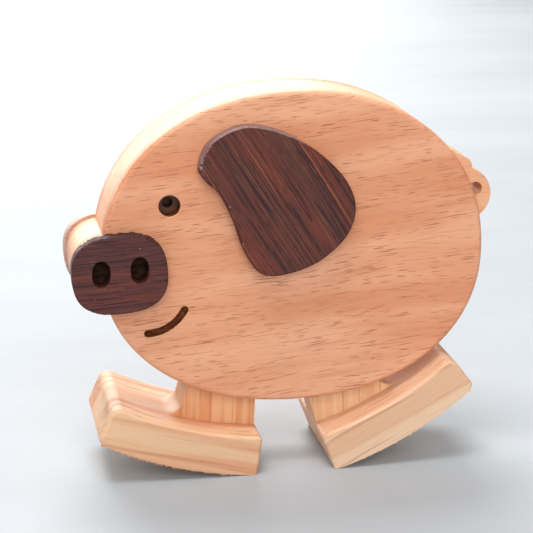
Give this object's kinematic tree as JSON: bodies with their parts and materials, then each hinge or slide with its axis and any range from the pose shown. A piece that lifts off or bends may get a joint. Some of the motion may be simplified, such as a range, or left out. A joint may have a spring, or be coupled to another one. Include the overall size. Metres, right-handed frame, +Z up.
{
  "type": "wooden ramp walker pig",
  "caption": "Free-standing wooden pig ramp walker: layered oval body with raised ears and snout plates, curled tail, and two wide rocker feet that swing on hidden dowels.",
  "frame": {"origin": "on the ground, under the centre of the bounding box", "axes": "+X from nose to tail, +Y towards the pig's right side, +Z up; the left side faces -Y"},
  "size_m": [0.1252, 0.0364, 0.1132],
  "materials": {
    "side_beech": "sanded and lightly oiled steamed beech, fine short flecks along the body",
    "core_beech": "sanded pale beech edge, lightly oiled",
    "dark_wood": "open-grained dark brown hardwood, sanded, satin",
    "leg_wood": "pale tan softwood with brown streaks, sanded faces and sawn soles",
    "dowel_wood": "plain turned beech dowel"
  },
  "bodies": {
    "body": {"core_board": "core_beech", "left_side_plate": "side_beech", "right_side_plate": "side_beech", "left_ear": "dark_wood", "right_ear": "dark_wood", "left_snout_plate": "dark_wood", "right_snout_plate": "dark_wood", "front_axle": "dowel_wood", "hind_axle": "dowel_wood"},
    "front_leg": {"front_shank": "leg_wood", "front_foot_left": "leg_wood", "front_foot_right": "leg_wood"},
    "hind_leg": {"hind_shank": "leg_wood", "hind_foot_left": "leg_wood", "hind_foot_right": "leg_wood"}
  },
  "joints": [
    {"name": "front_leg_swing", "type": "hinge", "parent": "body", "child": "front_leg", "pos_m": [-0.01587, 0, 0.04016], "axis": [0, 1, 0], "range_deg": [-8, 13]},
    {"name": "hind_leg_swing", "type": "hinge", "parent": "body", "child": "hind_leg", "pos_m": [0.01063, 0, 0.04026], "axis": [0, 1, 0], "range_deg": [0, 21]}
  ]
}
